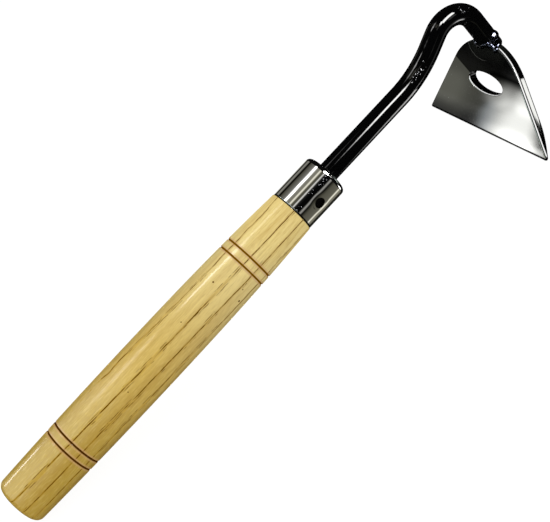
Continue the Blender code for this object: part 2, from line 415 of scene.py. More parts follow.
def grip_stations():
    """Places along the grip, close together at the grooves."""
    places = []
    x = butt_rounding
    while x < wood_end:
        places.append(x)
        near = min(abs(x - middle) for middle in groove_places)
        x += grip_step if near > groove_width else groove_width / 10
    return places + [wood_end]


def grip_profile():
    """The whole profile, from the butt's flat over the tenon and back down the tang's bore."""
    start = barrel_radius(butt_rounding)
    points = arc(butt_rounding, start - butt_rounding, butt_rounding, pi, pi / 2, 20)[:-1]
    points += [(x, grooved_radius(x)) for x in grip_stations()]
    shoulder = barrel_radius(wood_end) - wood_end_rounding
    points += arc(wood_end, shoulder, wood_end_rounding, pi / 2, 0, 8)[1:]
    tenon = ferrule_radius - ferrule_wall - gap
    tenon_end = face_x - ferrule_wall - gap
    rounding = rim_radius - ferrule_wall - gap
    points.append((grip_length, tenon))
    points += arc(tenon_end - rounding, tenon - rounding, rounding, pi / 2, 0, 4)
    points.append((tenon_end, neck_radius + gap))
    points.append((face_x - tang_length - gap, neck_radius + gap))
    return points


def pin_hole():
    """A cutter right across the tool for the pin."""
    reach = 2 * ferrule_radius
    return at_pin("pin_hole", [(-reach, hole_radius), (reach, hole_radius)], 72)


bm = turned(grip_profile(), grip_sides)
for vert in bm.verts:
    outward = Vector((0, vert.co.y, vert.co.z))
    if butt_rounding < vert.co.x < wood_end and outward.length > ferrule_radius:
        wave = noise.noise(Vector((vert.co.x * 55, vert.co.y * 160, vert.co.z * 160)))
        vert.co += outward.normalized() * lacquer_wave * wave
grip = as_object("grip_wood", bm)
carve(grip, pin_hole())

# %% [markdown]
# ## The wood
#
# The wood is pale and straight-grained, under clear gloss lacquer. A log's yearly rings are nearly
# flat sheets in a piece this thin. Lines drawn on the surface would look printed, so the sheets are
# made in space, about 7 mm apart and drifting a little along the grip, and the surface cuts them as
# it would cut a log. Fine streaks, mottling, short dark pores and a few pin knots go on top, then
# the burnt grooves. Dark grain, knots and grooves soak the lacquer up, so they stay matt.

# %% Wood values
ring_direction = radians(13.8)
ring_bend = (0.0108, 0.0306)
ring_sheets = [0.01545, 0.0079, 0.0011, -0.0057, -0.0118]
wide_wander, small_wander = 0.001, 0.0007
mean_radius = 0.014
butt_wood = (0.475, 0.308, 0.034)
honey_wood = (0.605, 0.408, 0.078)
head_wood = (0.785, 0.625, 0.25)
streak_brown, pale_fleck = (0.4, 0.225, 0.03), (0.84, 0.66, 0.22)
ring_brown, knot_brown = (0.105, 0.043, 0.0), (0.09, 0.036, 0.0)
burnt_brown, scorched_brown = (0.085, 0.028, 0.0), (0.2, 0.085, 0.0)
burnt_edge = (0.62, 0.36, 0.16)
unlit_brown = (0.004, 0.003, 0.002)
# Each knot's place along the grip, angle round it in degrees, and radius
pin_knots = [(0.1443, -34, 0.0006), (0.1462, -102.5, 0.0007), (0.1515, -89, 0.0004),
             (0.1195, -42, 0.0004), (0.0775, -59, 0.0004), (0.0565, 96, 0.0005),
             (0.1285, 160, 0.0006)]


# %% Grain lines
def grain_noise(place, along, across, detail=2.0):
    """Smooth noise, stretched along the grip."""
    return soft_noise(stretched(place, along, across, across), 1.0, detail, 0.5)


def from_ring(place, x):
    """Distance along the surface to the nearest sheet of dark grain."""
    steep, flat = sin(ring_direction), cos(ring_direction)
    sheet = vector_calc("DOT_PRODUCT", place, (0, steep, flat))
    sheet = sheet + x * (x * ring_bend[1] + ring_bend[0])
    for scale, wander in ((16, wide_wander), (110, small_wander)):
        sheet = sheet + (grain_noise(place, scale, 90) - 0.5) * wander
    nearest = abs(sheet - ring_sheets[0])
    for height in ring_sheets[1:]:
        nearest = calc("MINIMUM", nearest, abs(sheet - height))
    along_sheet = (0, flat / mean_radius, -steep / mean_radius)
    slant = abs(vector_calc("DOT_PRODUCT", place, along_sheet))
    shallow = step(slant, 0.22, 0.1) * 0.002
    return nearest / most(slant, 0.15) + shallow


# %% Wood recipe
def wood_look(place):
    """Golden wood with sheets of dark grain, burnt grooves and a lacquered surface."""
    x = split(place)[0]
    away = from_ring(place, x)
    fine, broad, hair = [use(streaks, place, Along=along, Across=across)
                         for along, across in ((22, 750), (9, 190), (90, 2600))]
    mottle = grain_noise(place, 230, 1500, 1.5)
    base = layered(
        butt_wood, (step(x, 0.03, 0.09), honey_wood), (step(x, 0.08, 0.17), head_wood),
        (step(broad, -0.06, 0.16) * 0.3, streak_brown), (step(fine, 0.0, 0.26) * 0.3, streak_brown),
        (step(hair, 0.06, 0.26) * 0.22, ring_brown), (step(mottle, 0.46, 0.8) * 0.25, pale_fleck),
        (step(mottle, 0.54, 0.2) * 0.25, streak_brown))

    # A ring is one dark core where its swell is strong, and two thinner strands where it is weak
    swell = grain_noise(place, 55, 160)
    strong, weak = step(swell, 0.33, 0.47), step(swell, 0.52, 0.42)
    dashes = grain_noise(place, 190, 700, 3.0)
    core = step(away, 0.00036, 0.00015) * strong * (step(dashes, 0.38, 0.54) * 0.6 + 0.4)
    strand = step(abs(away - 0.0009), 0.00025, 0.0001) * weak * step(dashes, 0.42, 0.56) * 0.85
    line = most(core, strand)
    dry = most(step(away, 0.0006, 0.0003) * strong, step(away, 0.0014, 0.001) * weak * 0.7)
    pores = use(specks, stretched(place, 0.14, 1, 1), Cells=900, Size=0.26, Share=0.16)
    near_ring = step(away, 0.0022, 0.0004) * 0.8 + 0.14
    base = layered(base, (step(away, 0.0011, 0.0002) * 0.32, streak_brown), (line, ring_brown),
                   (pores * near_ring * 0.8, ring_brown))

    for knot_x, turn, size in pin_knots:
        radius = barrel_radius(knot_x)
        centre = (knot_x, radius * sin(radians(turn)), radius * cos(radians(turn)))
        in_knot = step(vector_calc("DISTANCE", place, centre), size, size * 0.6)
        base = layered(base, (in_knot, knot_brown))
        dry = most(dry, in_knot)
    burnt = 0.0
    for middle in groove_places:
        reach = abs(x - middle)
        in_groove = step(reach, 0.00066, 0.0004)
        burnt_tone = burnt_brown if middle < grip_length / 2 else scorched_brown
        base = layered(base, (step(reach, 0.0017, 0.001) * 0.5, burnt_edge),
                       (in_groove, burnt_tone))
        burnt = most(burnt, in_groove)
    base = layered(base, (step(x, grip_length - 0.0006, grip_length - 0.0002), unlit_brown))

    # The film is uneven, thinner towards the ferrule, and missing where the wood is bare
    turning_away = out(place.tree, "LayerWeight", {"Blend": 0.5}, "Facing")
    bare = most(dry, line, burnt, step(turning_away, 0.62, 0.9) * 0.85)
    film = step(grain_noise(place, 220, 700, 3.0), 0.34, 0.6) * 0.3 + 0.7
    film = film * (1.0 - step(x, 0.16, 0.172) * 0.45)
    return {"Base Color": base, "Roughness": fine * 0.12 + 0.38,
            "Normal": bump(hair * 0.4 - line * 0.6, 0.25, 0.00008),
            "Specular IOR Level": (0.5 - bare * 0.5) * step(x, 0.178, 0.16),
            "Coat Weight": film * (1.0 - bare), "Coat Roughness": 0.045, "Coat IOR": 1.5}


seat(grip, "handle", "lacquered_wood", wood_look)

# %% [markdown]
# ## The ferrule
#
# The ferrule is a plated cup, drawn from thin sheet, with a rounded rim and a flat end with a hole
# for the neck. Drilling for the pin pulls the sheet in a little round the hole, and on a mirror
# finish that shallow dish shows at once. So the wall is meshed finely, pressed in near the hole and
# then drilled. The plating has a few pits, and at the bent rim it is thin, darker and less smooth.

# %% Ferrule sizes
ferrule_sides = 240
ferrule_step = 0.0004
lip_rounding = 0.00025
dish_depth = 0.0001
dish_reach = 0.0016


# %% Ferrule mesh
def ferrule_profile():
    """Outer wall, rim, face, neck hole and the inside of the cup, as a closed loop."""
    mouth = grip_length + gap
    rim = face_x - rim_radius
    corner = ferrule_radius - rim_radius
    inner = rim_radius - ferrule_wall
    points = arc(mouth + lip_rounding, ferrule_radius - lip_rounding, lip_rounding, pi, pi / 2, 4)
    count = round((rim - mouth) / ferrule_step)
    points += [(mouth + (rim - mouth) * k / count, ferrule_radius) for k in range(1, count)]
    points += arc(rim, corner, rim_radius, pi / 2, 0, 16)
    hole = neck_radius + gap
    points += arc(face_x - lip_rounding, hole + lip_rounding, lip_rounding, 0, -pi / 2, 4)
    points.append((face_x - ferrule_wall, hole))
    points += arc(rim, corner, inner, 0, pi / 2, 6)
    points.append((mouth, ferrule_radius - ferrule_wall))
    return points


bm = turned(ferrule_profile(), ferrule_sides, closed=True)
for vert in bm.verts:
    from_hole = sqrt((vert.co.x - pin_x) ** 2 + vert.co.z ** 2) - hole_radius
    outward = Vector((0, vert.co.y, vert.co.z))
    if from_hole < 3 * dish_reach and outward.length > ferrule_radius - ferrule_wall / 2:
        depth = dish_depth * 2.718 ** -((max(from_hole, 0) / dish_reach) ** 2)
        vert.co -= outward.normalized() * depth
ferrule = as_object("ferrule_cup", bm)
carve(ferrule, pin_hole())


# %% Ferrule recipe
plate_dark, plate_light = (0.8, 0.79, 0.77), (0.86, 0.855, 0.85)
thin_plate, pit_grey = (0.1, 0.1, 0.1), (0.55, 0.56, 0.6)


def bright_plate_look(place):
    """A mirror with faint drawing lines, a slight waviness, some pits and a rougher rim."""
    x, y, z = split(place)
    lines = use(streaks, place, Along=60, Across=1500)
    swell = use(ripple, place, Scale=420)
    high, near, before_rim = z / ferrule_radius, y / ferrule_radius, face_x - x
    pitted = (between(high, 0.42, 0.5, 0.62, 0.7) * step(near, 0.0, -0.1)
              * step(before_rim, 0.002, 0.004))
    pits = use(specks, place, Cells=1100, Size=0.34, Share=0.3) * pitted
    tone = layered(plate_dark, (lines * 0.8 + 0.5, plate_light),
                   (step(before_rim, 0.0011, 0.0006), thin_plate), (pits, pit_grey))
    return {"Base Color": tone, "Metallic": 1.0 - pits * 0.8,
            "Roughness": lines * 0.02 + 0.016 + step(before_rim, 0.0018, 0.0008) * 0.24,
            "Normal": bump(swell + lines * 0.12, 0.3, 0.00003)}


seat(ferrule, "ferrule", "bright_plate", bright_plate_look)

# %% [markdown]
# ## The cross pin
#
# A plain rivet, sunk below the ferrule at both ends, with a soft edge. It is coloured nearly
# black and matt, and only its end can be seen, deep in its hole.

# %% Pin mesh and recipe
pin_rounding = 0.0004
profile = arc(pin_rounding - pin_high.y, pin_radius - pin_rounding, pin_rounding, pi, pi / 2, 5)
profile += [(-place, radius) for place, radius in reversed(profile)]
pin = at_pin("rivet", profile, 48)


def dark_pin_look(place):
    """Near-black, matt steel with a mottled tone."""
    mottle = use(ripple, place, Scale=900)
    return {"Base Color": layered((0.001, 0.001, 0.001), (mottle, (0.004, 0.003, 0.003))),
            "Roughness": mottle * 0.2 + 0.7, "Specular IOR Level": 0.0}


seat(pin, "cross_pin", "dark_pin", dark_pin_look)

# %% [markdown]
# ## The neck
#
# One round bar is bent twice: gently upward, then over in a tight crook that brings it down on the
# blade. Sweeping a circle along a path of straight runs and arcs gives exactly what bending round a
# former gives. The bar's end is slotted over the blade's top.

# %% Neck sizes
straight_run = 0.0538
rise_radius = 0.0603
rise_angle = radians(26.95)
rise_run = 0.0082
crook_radius = 0.01414
crook_angle = radians(111.8)
drop_run = 0.0136
neck_end_past_face = 0.0083
neck_end_rounding = 0.0008
tang_chamfer = 0.0015
neck_sides = 72


# %% Neck mesh
def neck_stations():
    """Centre (x, z) and heading along the bar, from the tang to the blade."""
    x, z, heading = face_x - tang_length, 0.0, 0.0
    stations = [(x, z, heading)]
    legs = ((tang_length, 0, 0, 4), (straight_run, 0, 0, 30),
            (0, rise_radius, rise_angle, 28), (rise_run, 0, 0, 8),
            (0, crook_radius, -crook_angle, 40), (drop_run, 0, 0, 12))
    for length, radius, angle, steps in legs:
        for _ in range(steps):
            half_turn = angle / steps / 2
            chord = length / steps + 2 * radius * abs(sin(half_turn))
            heading += half_turn
            x += chord * cos(heading)
            z += chord * sin(heading)
            heading += half_turn
            stations.append((x, z, heading))
    return stations


landing_x, landing_z, landing_heading = neck_stations()[-1]


def neck_bar():
    """The bar as rings along its path, with softened ends."""
    stations = [(x, z, a, neck_radius) for x, z, a in neck_stations()]
    x, z, a, r = stations[0]
    stations[:1] = [(x, z, a, r - tang_chamfer), (x + tang_chamfer, z, a, r)]
    x, z, a, r = stations[-1]
    soft = neck_end_rounding
    for ahead, radius in arc(neck_end_past_face - soft, r - soft, soft, pi / 2, 0, 5):
        stations.append((x + ahead * cos(a), z + ahead * sin(a), a, radius))
    rings = []
    for x, z, a, r in stations:
        up = Vector((-sin(a), 0, cos(a)))
        rings.append(circle(Vector((x, 0, z)), across, up, r, neck_sides))
    return loft(rings)


neck = as_object("neck_bar", neck_bar())
print("neck lands on the blade at x %.1f, z %.1f mm" % (landing_x * 1000, landing_z * 1000))

# %% [markdown]
# ## The blade
#
# The blade is a thick plate with a straight edge, straight sides and a rounded crown. It is flat
# towards the grip and ground to its edge behind, with an oval hole. It is modelled in its own axes:
# X through the plate, Z up along it. Stacked outlines give the rounded rims, the grind is cut by
# one curved cutter, and the hole by another with flared ends. Its flat face is a mirror, so
# weighted normals keep it perfectly flat to the light.

# %% Blade sizes
blade_lean = radians(32.75)
blade_width = 0.0988
side_angle = radians(32.4)
apex_radius = 0.0305
corner_radius = 0.001
thickness = 0.0049
edge_thickness = 0.0008
rim_rounding = 0.0008
grind_radius = 0.06
neck_above_blade = 0.0025
hole_length = 0.0272
hole_height = 0.011
hole_from_edge = 0.0283
hole_flare = 0.0006

half_blade = blade_width / 2
apex_centre = (half_blade - apex_radius / cos(side_angle)) / tan(side_angle)
edge_drop = apex_centre + apex_radius + neck_above_blade
hole_middle = hole_from_edge - edge_drop
grind_depth = thickness - edge_thickness
grind_height = sqrt(grind_radius ** 2 - (grind_radius - grind_depth) ** 2)
lean = Matrix.Rotation(blade_lean, 4, "Y")
blade_place = tool @ Matrix.Translation((landing_x, 0, landing_z)) @ lean
print("blade %.1f mm high, ground %.1f mm up its back" % (
    (apex_centre + apex_radius) * 1000, grind_height * 1000))


# %% Blade mesh
def blade_outline(grow):
    """The plate's outline (y, z), grown or drawn in by a margin."""
    radius = corner_radius + grow
    inset = corner_radius / tan((pi / 2 - side_angle) / 2)
    corner = arc(half_blade - inset, corner_radius - edge_drop, radius, -pi / 2, side_angle, 8)
    crown = arc(0, apex_centre - edge_drop, apex_radius + grow, side_angle, pi - side_angle, 72)
    return corner + crown + [(-y, z) for y, z in reversed(corner)]


def stacked(name, layers, outline):
    """Outlines, each with its depth and its growth, stacked into one solid."""
    bm = loft([[Vector((x, y, z)) for y, z in outline(grow)] for x, grow in layers])
    return as_object(name, bm, place=blade_place)


def drawn_out(name, profile, half_width):
    """A flat profile (x, z), drawn out across the blade to both sides."""
    bm = loft([[Vector((x, side, z)) for x, z in profile] for side in (-half_width, half_width)])
    return as_object(name, bm, place=blade_place)


def quarter_round(radius, way):
    """A quarter round as (depth, growth). The way is -1 at a rim and 1 at a hole."""
    turns = [radians(15 * k) for k in range(7)]
    return [(radius * (1 - cos(a)), way * radius * (1 - sin(a))) for a in turns]


def on_both_faces(near):
    """Layers at one face of the plate, and the same at its other face."""
    return near + [(thickness - deep, grow) for deep, grow in reversed(near)]


def hole_outline(grow):
    """The oval of the hole (y, z), grown by a margin."""
    long, high = hole_length / 2 + grow, hole_height / 2 + grow
    turns = [2 * pi * k / 96 for k in range(96)]
    return [(long * cos(a), hole_middle + high * sin(a)) for a in turns]


def grind_profile():
    """The space (x, z) that grinding leaves behind the edge: a long convex curve."""
    top = grind_height - edge_drop
    spare = thickness
    sweep = asin(grind_height / grind_radius)
    turns = [sweep * k / 32 for k in range(33)]
    centre_x = thickness - grind_radius
    profile = [(centre_x + grind_radius * cos(a), top - grind_radius * sin(a)) for a in turns]
    edge_x, edge_z = profile[-1]
    return profile + [(edge_x - spare * sin(sweep), edge_z - spare * cos(sweep)),
                      (thickness + spare, edge_z - spare), (thickness + spare, top)]


blade = stacked("blade_plate", on_both_faces(quarter_round(rim_rounding, -1)), blade_outline)
carve(blade, drawn_out("grind", grind_profile(), blade_width))
flare = [(-hole_flare, 2 * hole_flare)] + quarter_round(hole_flare, 1)
carve(blade, stacked("oval", on_both_faces(flare), hole_outline), sharp=50)
tuned(blade.modifiers.new("Flat faces first", "WEIGHTED_NORMAL"), keep_sharp=True)
apply_modifiers(blade)

# The neck gets its slot, the pin's hole, and a slanted cut where its end meets the flat face
carve(neck, stacked("slot", on_both_faces([(-gap, gap)]), blade_outline), pin_hole())
lip = [(-0.0001, -0.0056), (-0.007, -0.0022), (-0.007, -0.014), (-0.0001, -0.014)]
carve(neck, drawn_out("lip", lip, blade_width / 4))

# %% [markdown]
# ## Black enamel and polished steel
#
# Neck and weld are sprayed with black gloss enamel. The spray also covers the top of the blade: it
# ends in a clean line on one side and in a soft mist on the other, and below it the steel is
# polished bright. The film is nearly black and very smooth, with a faint orange-peel ripple, a few
# nibs of dust, and spatter on the insides of the bends; nibs and spatter are coloured pale as
# painted glints. On the blade, a mask says how much of the steel it covers.

# %% Enamel values
enamel_black, weld_reflection_grey = (0.0012, 0.0012, 0.0013), (0.011, 0.012, 0.01)
nib_glint_grey, neck_reflection_grey = (0.25, 0.25, 0.27), (0.06, 0.06, 0.055)
spatter_glint_white, rim_highlight_white = (0.72, 0.73, 0.76), (0.95, 0.95, 0.94)
steel_grey, steel_light = (0.63, 0.635, 0.62), (0.68, 0.685, 0.67)
near_black_steel = (0.012, 0.012, 0.012)
# Two corners of each box on the neck with spatter, which is coloured white as painted glints
glint_spatter_boxes = [((0.2855, -0.0052, 0.0034), (0.2975, -0.0036, 0.0075)),
                 ((0.327, -0.005, 0.009), (0.3335, -0.003, 0.015))]
box_softness = 0.0003


# %% Neck recipe
def in_box(place, low, high):
    """1 inside a box between two corners, with a soft edge."""
    inside = 1.0
    for value, start, end in zip(split(place), low, high):
        inside = inside * between(value, start - box_softness, start + box_softness,
                                  end - box_softness, end + box_softness)
    return inside


def black_enamel_look(place):
    """Black gloss enamel with an orange-peel ripple, and dust specks and spatter coloured pale as
    painted glints.
    """
    swell = use(ripple, place, Scale=260)
    nibs_and_glints = use(specks, place, Cells=330, Size=0.16, Share=0.02)
    spatter_and_glints = most(*(in_box(place, low, high) for low, high in glint_spatter_boxes))
    spatter_and_glints = use(specks, place, Cells=1150, Size=0.36, Share=0.42) * spatter_and_glints
    # Painted glints: the dust nibs and the spatter are coloured pale grey and white
    tone = layered(enamel_black, (nibs_and_glints * 0.35, nib_glint_grey), (spatter_and_glints, spatter_glint_white))
    return {"Base Color": tone, "Roughness": swell * 0.03 + 0.012,
            "Normal": bump(swell + (nibs_and_glints + spatter_and_glints) * 1.5, 0.5, 0.00004)}


seat(neck, "neck", "black_enamel", black_enamel_look)

# %% Blade masks
paint_line_far, paint_line_near = 0.0302 - edge_drop, 0.0332 - edge_drop
paint_line_on_rim = 0.0375 - edge_drop
paint_line_from = 0.012
paint_rise = 0.5
clean_edge, misty_edge = 0.0008, 0.0066
weld_reflection_low, weld_reflection_high = 0.0385 - edge_drop, 0.0465 - edge_drop
near_end = (-0.0085, -0.011)


def paint_mask(x, y, z):
    """How much enamel covers the steel, with a clean end far away and a misty one near."""
    near_side = step(y, 0.01, -0.01)
    past_hole = most(y - paint_line_from, 0.0)
    line = near_side * (paint_line_near - paint_line_far) + paint_line_far
    above = z - (past_hole * paint_rise + line)
    mist = near_side * (misty_edge - clean_edge) + clean_edge
    on_rim = step(z, paint_line_on_rim - 0.001, paint_line_on_rim + 0.001)
    share = step(x, 0.0001, 0.0008) * step(y, *near_end)
    return share * on_rim + (1.0 - share) * step(above, mist * -1.0, mist)


def rim_highlight_mask(x, y, z):
    """A painted highlight: a white line along the rim, down the near side and under the hole."""
    near_side = between(x, 0.00046, 0.00058, 0.00114, 0.00132) * step(y, *near_end)
    under_hole = (between(x, 0.00007, 0.00012, 0.0004, 0.00052)
                  * between(y, -0.016, -0.0145, 0.0145, 0.0155)
                  * step(z, hole_middle + 0.001, hole_middle - 0.001))
    return step(z, 0.0015 - edge_drop, 0.003 - edge_drop) * most(near_side, under_hole)


def near_black_mask(x, y, z):
    """The places coloured nearly black: the hole's wall, the very edge and the rim's corners."""
    stretched_z = (z - hole_middle) * (hole_length / hole_height)
    past_oval = vector_calc("LENGTH", join(y, stretched_z)) - hole_length / 2
    in_hole = step(past_oval, 0.0008, 0.0002) * step(x, 0.0003, 0.0006)
    at_edge = step(z, 0.0018 - edge_drop, 0.0013 - edge_drop)
    back = (z + edge_drop) * 0.19 + 0.0013
    to_back = calc("MINIMUM", back, thickness) - x
    in_corner = most(between(x, 0.00006, 0.00014, 0.0018, 0.0021), step(to_back, 0.0011, 0.0007))
    return most(in_hole, at_edge, in_corner * step(y, *near_end))


# %% Blade recipe
def polished_steel_look(place):
    """Polished steel below, black enamel above, a painted rim highlight and painted reflections."""
    x, y, z = split(place)
    paint, rim_highlight = paint_mask(x, y, z), rim_highlight_mask(x, y, z)
    lines = use(streaks, join(y, z, x), Along=45, Across=2200)
    swell = use(ripple, place, Scale=300)
    # Dust nibs on the enamel, coloured pale grey as painted glints
    nibs_and_glints = use(specks, place, Cells=150, Size=0.07, Share=0.05)
    steel = layered(steel_grey, (lines + 0.5, steel_light), (near_black_mask(x, y, z), near_black_steel))
    # Painted reflection of the weld bead in the enamel, a grey patch just below it
    weld_reflection = step(z, weld_reflection_low, weld_reflection_high) * step(abs(y), 0.019, 0.008)
    # Painted reflection of the neck's outline: a thin grey arc of an oval, below the neck
    oval = vector_calc("LENGTH", join((y - 0.003) / 0.012, (z + 0.004) / 0.0096))
    run = step(abs(oval - 0.985), 0.024, 0.008) * step(z, -0.004, -0.007) * step(y, -0.002, 0.004)
    enamel = layered(enamel_black, (weld_reflection * 0.6, weld_reflection_grey), (nibs_and_glints * 0.5, nib_glint_grey), (run, neck_reflection_grey))
    height = swell * paint + nibs_and_glints * paint * 0.8 + lines * 0.03
    # The rim's painted highlight is matt white, not metal
    return {"Base Color": layered(steel, (step(paint, 0.0, 0.8), enamel), (rim_highlight, rim_highlight_white)),
            "Metallic": step(paint, 1.0, 0.75) * step(rim_highlight, 0.6, 0.2),
            "Roughness": lines * 0.04 + 0.05 - paint * 0.03,
            "Normal": bump(height, 0.3, 0.00002)}


seat(blade, "blade", "polished_steel", polished_steel_look)

# %% [markdown]
# ## The weld
#
# A hand-laid weld is a row of overlapping puddles. Displacing a smooth tube gives an even pattern,
# which looks wrong. Here separate rounded lumps of uneven size, drawn from a fixed seed, are set
# along the seam, and a voxel remesh melts them into one skin, as the real puddles run together.

# %% Weld sizes
weld_radius = 0.0017
neck_to_blade = pi / 2 + blade_lean + landing_heading
lump_spacing = 0.0015
lump_spread = 0.75
melt_voxel = 0.00028
weld_seed = 7
# The bead across the front of the bar, in the blade's own axes
front_bead = [(0, -0.0088, -0.0052), (0, -0.0073, -0.005), (-0.0008, -0.006, -0.0033),
              (-0.0022, -0.0045, -0.0023), (-0.0033, -0.0025, -0.0034), (-0.0029, 0.0005, -0.0047),
              (-0.0015, 0.0038, -0.0054), (-0.0004, 0.007, -0.0054), (0, 0.0088, -0.004)]
# Drops that face the main window: place, radius, and thickness as a share of width
to_window = (0.02, -0.735, 0.677)
drops = [(0.0012, -0.0046, 0.0016, 0.003, 0.42), (-0.0058, -0.005, 0.0054, 0.0006, 0.6),
         (0.0022, -0.0072, -0.0034, 0.0016, 0.8)]


# %% Weld mesh
def weld_seam():
    """Knots of the seam: over the plate's top on each side, round the back and across the front."""
    top = -neck_above_blade
    far = thickness
    end = (far * sin(neck_to_blade) - neck_end_past_face) / cos(neck_to_blade)
    side = [(far / 2, top, 1), (far, top - weld_radius * 0.6, 1), (far, (top + end) / 2, 1),
            (far, end, 0.7)]
    right = []
    for x, z, share in side:
        off_axis = x * cos(neck_to_blade) + z * sin(neck_to_blade)
        right.append(Vector((x, share * sqrt(max(0.0, neck_radius ** 2 - off_axis ** 2)), z)))
    left = [Vector((p.x, -p.y, p.z)) for p in reversed(right)]
    behind = Vector((far, 0, end - weld_radius / 3))
    return right + [behind] + left + [Vector(p) for p in front_bead]


def spread_along(knots, spacing):
    """Points at an even spacing along a closed run of knots."""
    points = []
    left_over = 0.0
    for start, end in zip(knots, knots[1:] + knots[:1]):
        run = (end - start).length
        at = left_over
        while at < run:
            points.append(start.lerp(end, at / run))
            at += spacing
        left_over = at - run
    return points


noise.seed_set(weld_seed)
bm = bmesh.new()
for k, centre in enumerate(spread_along(weld_seam(), lump_spacing)):
    uneven = noise.noise_vector(Vector((k * 1.7, 3.1, 0.4)))
    size = weld_radius * (0.8 + lump_spread * uneven.x)
    place = Matrix.Translation(centre + uneven * weld_radius * 0.5)
    bmesh.ops.create_icosphere(bm, subdivisions=3, radius=size, matrix=place)
facing = (lean.to_3x3().inverted() @ Vector(to_window)).to_track_quat("Z", "Y").to_matrix().to_4x4()
for x, y, z, size, thick in drops:
    place = Matrix.Translation((x, y, z)) @ facing @ Matrix.Diagonal((1, 1, thick, 1))
    bmesh.ops.create_icosphere(bm, subdivisions=4, radius=size, matrix=place)
weld = as_object("weld_lumps", bm, place=blade_place)
melt = weld.modifiers.new("Melt", "REMESH")
tuned(melt, mode="VOXEL", voxel_size=melt_voxel, use_smooth_shade=True)
tuned(weld.modifiers.new("Settle", "SMOOTH"), factor=0.5, iterations=2)
apply_modifiers(weld)


# %% Weld recipe
def weld_look(place):
    """Heat-tinted bare metal under a thin black film: dark, with bluish highlights."""
    scale = use(ripple, place, Scale=900)
    tone = layered((0.06, 0.065, 0.1), (step(scale, 0.35, 0.65), (0.11, 0.112, 0.13)))
    return {"Base Color": tone, "Roughness": scale * 0.08 + 0.06, "Metallic": 1.0,
            "Normal": bump(scale, 0.6, 0.0001)}


seat(weld, "weld_bead", "enamelled_weld", weld_look)

# %% [markdown]
# ## Floor and soft light
#
# The hoe lies on a plain white floor. The wood is lit by the room itself, brighter above than
# below, and by one large soft lamp. The floor is kept out of reflections, so that bright metal
# mirrors the studio and not a white sheet.

# %% Floor
def floor_look(place):
    """Matt white that hardly darkens in a shadow, as most of it is glow."""
    return {"Base Color": (0.12, 0.12, 0.12), "Roughness": 0.9, "Specular IOR Level": 0.0,
            "Emission Color": (1, 1, 1), "Emission Strength": 0.92}


bm = bmesh.new()
bmesh.ops.create_grid(bm, x_segments=8, y_segments=8, size=3.0)
floor = as_object("floor", bm, place=Matrix.Identity(4))
floor.data.materials.append(new_material("floor_white", floor_look))
tuned(floor, visible_glossy=False, visible_diffuse=False)

# %% Soft lamp
lamp = linked("soft_lamp", bpy.data.lights.new("soft_lamp", "AREA"))
tuned(lamp.data, shape="RECTANGLE", size=1.6, size_y=1.2, energy=8, use_shadow=False)
lamp_place, lamp_aim = Vector((-0.5, -0.9, 1.7)), Vector((0, 0, 0.03))
turn = (lamp_aim - lamp_place).to_track_quat("-Z", "Y").to_euler()
tuned(lamp, location=lamp_place, rotation_euler=turn, visible_glossy=False)

# %% [markdown]
# ## The light tent
#
# Chrome and gloss black show only what stands round them. A product photographer puts such a piece
# in a tent and lights parts of it from outside. This tent is a tube of dark cloth round the grip's
# axis, and only mirrored rays see it. A lit patch is named by its angle round that axis, 0 straight
# up and positive to the far side, and by its place along it. Because the tent is near, each bend of
# the neck sees a patch from another side.

# %% Lit patches of the tent
tent_radius = 0.43
tent_start, tent_end = -0.7, 1.4
unlit_cloth = (0.004, 0.004, 0.004)
white = (1.0, 1.0, 0.985)
olive = (1.0, 1.0, 0.85)
blue = (0.55, 0.75, 1.0)
pale_green = (0.88, 1.0, 0.95)
